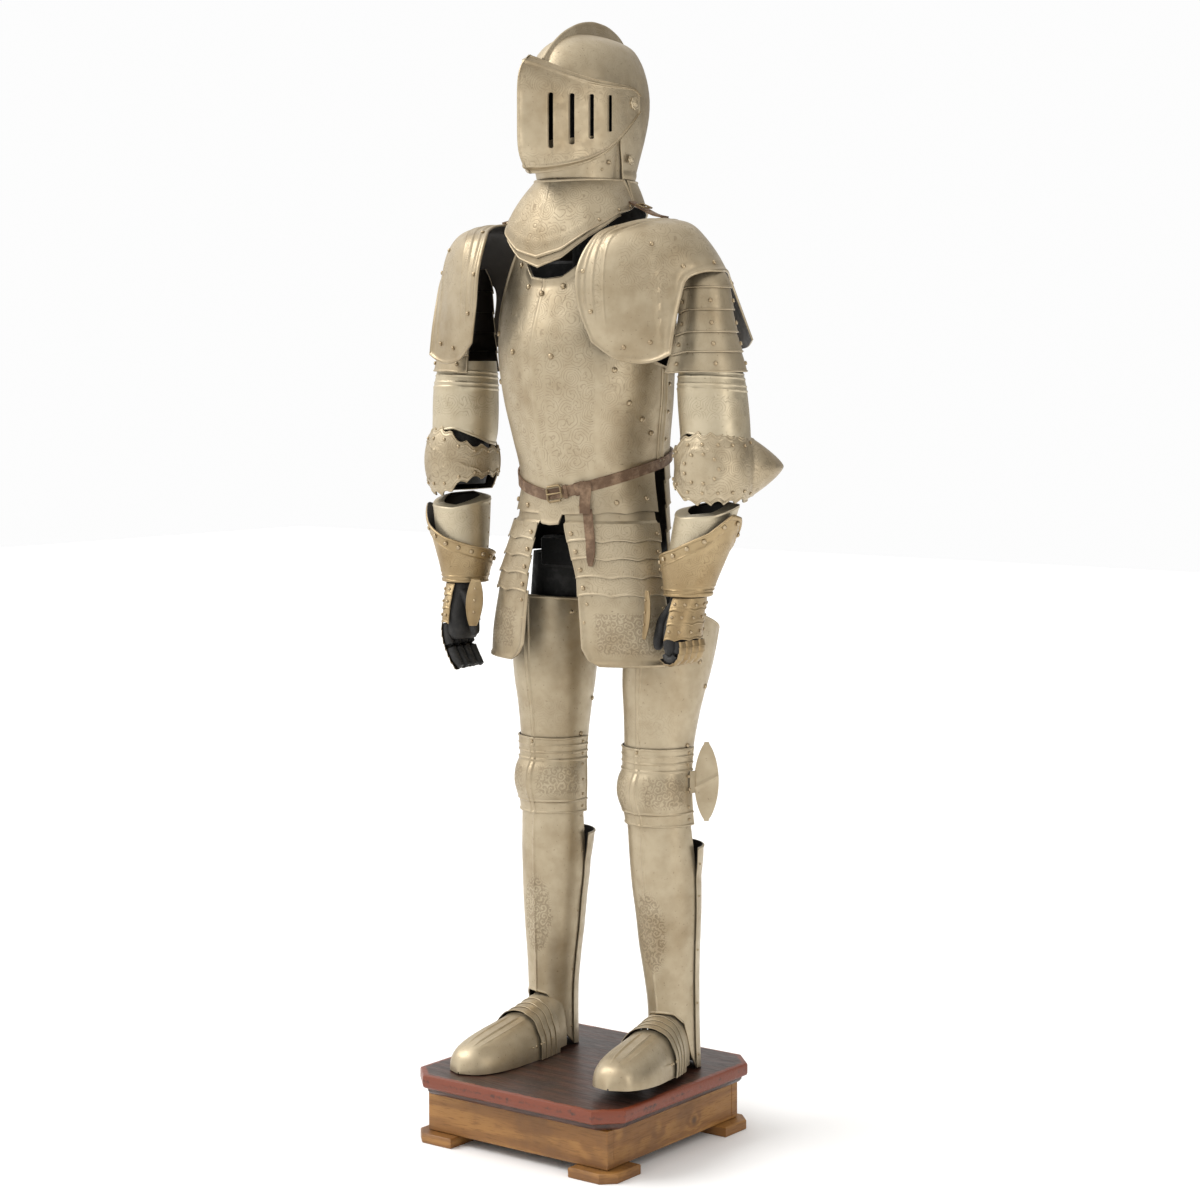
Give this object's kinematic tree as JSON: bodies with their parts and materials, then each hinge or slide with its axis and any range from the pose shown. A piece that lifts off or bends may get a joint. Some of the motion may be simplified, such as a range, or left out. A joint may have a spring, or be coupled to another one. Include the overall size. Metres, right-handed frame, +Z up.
{
  "type": "suit of plate armour on a wooden stand",
  "caption": "Full suit of etched plate armour with a closed slitted helmet, standing hollow on a black inner stand and a square wooden base.",
  "frame": {"origin": "centre of the base's underside, on the floor", "axes": "+Z up, the suit faces -Y, its own left hand on +X"},
  "size_m": [0.693, 0.4406, 1.908],
  "materials": {
    "plate_steel": "satin steel with a warm tan patina and etched scrollwork",
    "gauntlet_steel": "satin steel, darker and browner than the body plates",
    "strap_leather": "worn brown strap leather",
    "glove_leather": "black glove leather",
    "buckle_brass": "dull aged brass",
    "varnished_wood": "dark red-brown varnish, worn at the edges",
    "pine": "yellow-brown stained pine with knots",
    "black_wood": "matt black paint on wood"
  },
  "bodies": {
    "root": {"base_slab": "varnished_wood", "base_apron": "pine", "base_foot_front_l": "pine", "base_foot_front_r": "pine", "base_foot_back_l": "pine", "base_foot_back_r": "pine", "cuisse_l": "plate_steel", "cuisse_r": "plate_steel", "poleyn_l": "plate_steel", "poleyn_r": "plate_steel", "knee_wing_l": "plate_steel", "knee_wing_r": "plate_steel", "greave_l": "plate_steel", "greave_r": "plate_steel", "greave_back_l": "plate_steel", "greave_back_r": "plate_steel", "sabaton_instep_l": "plate_steel", "sabaton_instep_r": "plate_steel", "sabaton_toe_l": "plate_steel", "sabaton_toe_r": "plate_steel", "breastplate": "plate_steel", "backplate": "plate_steel", "belt": "strap_leather", "belt_buckle": "buckle_brass", "fauld": "plate_steel", "culet": "plate_steel", "belt_loose_end": "strap_leather", "helmet_skull": "plate_steel", "bevor": "plate_steel", "gorget_front": "plate_steel", "gorget_rear": "plate_steel", "pauldron_l": "plate_steel", "pauldron_r": "plate_steel", "arm_lames_l": "plate_steel", "arm_lames_r": "plate_steel", "upper_cannon_l": "plate_steel", "upper_cannon_r": "plate_steel", "couter_l": "plate_steel", "couter_r": "plate_steel", "shoulder_strap_l": "strap_leather", "shoulder_strap_r": "strap_leather", "inner_stand": "black_wood"},
    "visor": {"visor": "plate_steel"},
    "tasset_l": {"tasset_lames_l": "plate_steel", "tasset_l": "plate_steel", "belt_tail": "strap_leather"},
    "tasset_r": {"tasset_lames_r": "plate_steel", "tasset_r": "plate_steel"},
    "forearm_l": {"lower_cannon_l": "plate_steel", "gauntlet_cuff_l": "gauntlet_steel", "gauntlet_hand_l": "gauntlet_steel", "gauntlet_fingers_l": "gauntlet_steel", "gauntlet_thumb_l": "gauntlet_steel", "glove_l": "glove_leather"},
    "forearm_r": {"lower_cannon_r": "plate_steel", "gauntlet_cuff_r": "gauntlet_steel", "gauntlet_hand_r": "gauntlet_steel", "gauntlet_fingers_r": "gauntlet_steel", "gauntlet_thumb_r": "gauntlet_steel", "glove_r": "glove_leather"}
  },
  "joints": [
    {"name": "visor_hinge", "type": "hinge", "parent": "root", "child": "visor", "pos_m": [0, 0.008, 1.766], "axis": [-1, 0, 0], "range_deg": [0, 44]},
    {"name": "tasset_l_hinge", "type": "hinge", "parent": "root", "child": "tasset_l", "pos_m": [0.09, -0.045, 1.086], "axis": [-1, 0, 0], "range_deg": [0, 12]},
    {"name": "tasset_r_hinge", "type": "hinge", "parent": "root", "child": "tasset_r", "pos_m": [-0.09, -0.045, 1.086], "axis": [-1, 0, 0], "range_deg": [0, 12]},
    {"name": "elbow_l", "type": "hinge", "parent": "root", "child": "forearm_l", "pos_m": [0.269, 0, 1.166], "axis": [-1, 0, 0], "range_deg": [0, 14]},
    {"name": "elbow_r", "type": "hinge", "parent": "root", "child": "forearm_r", "pos_m": [-0.269, 0, 1.166], "axis": [-1, 0, 0], "range_deg": [0, 14]}
  ]
}
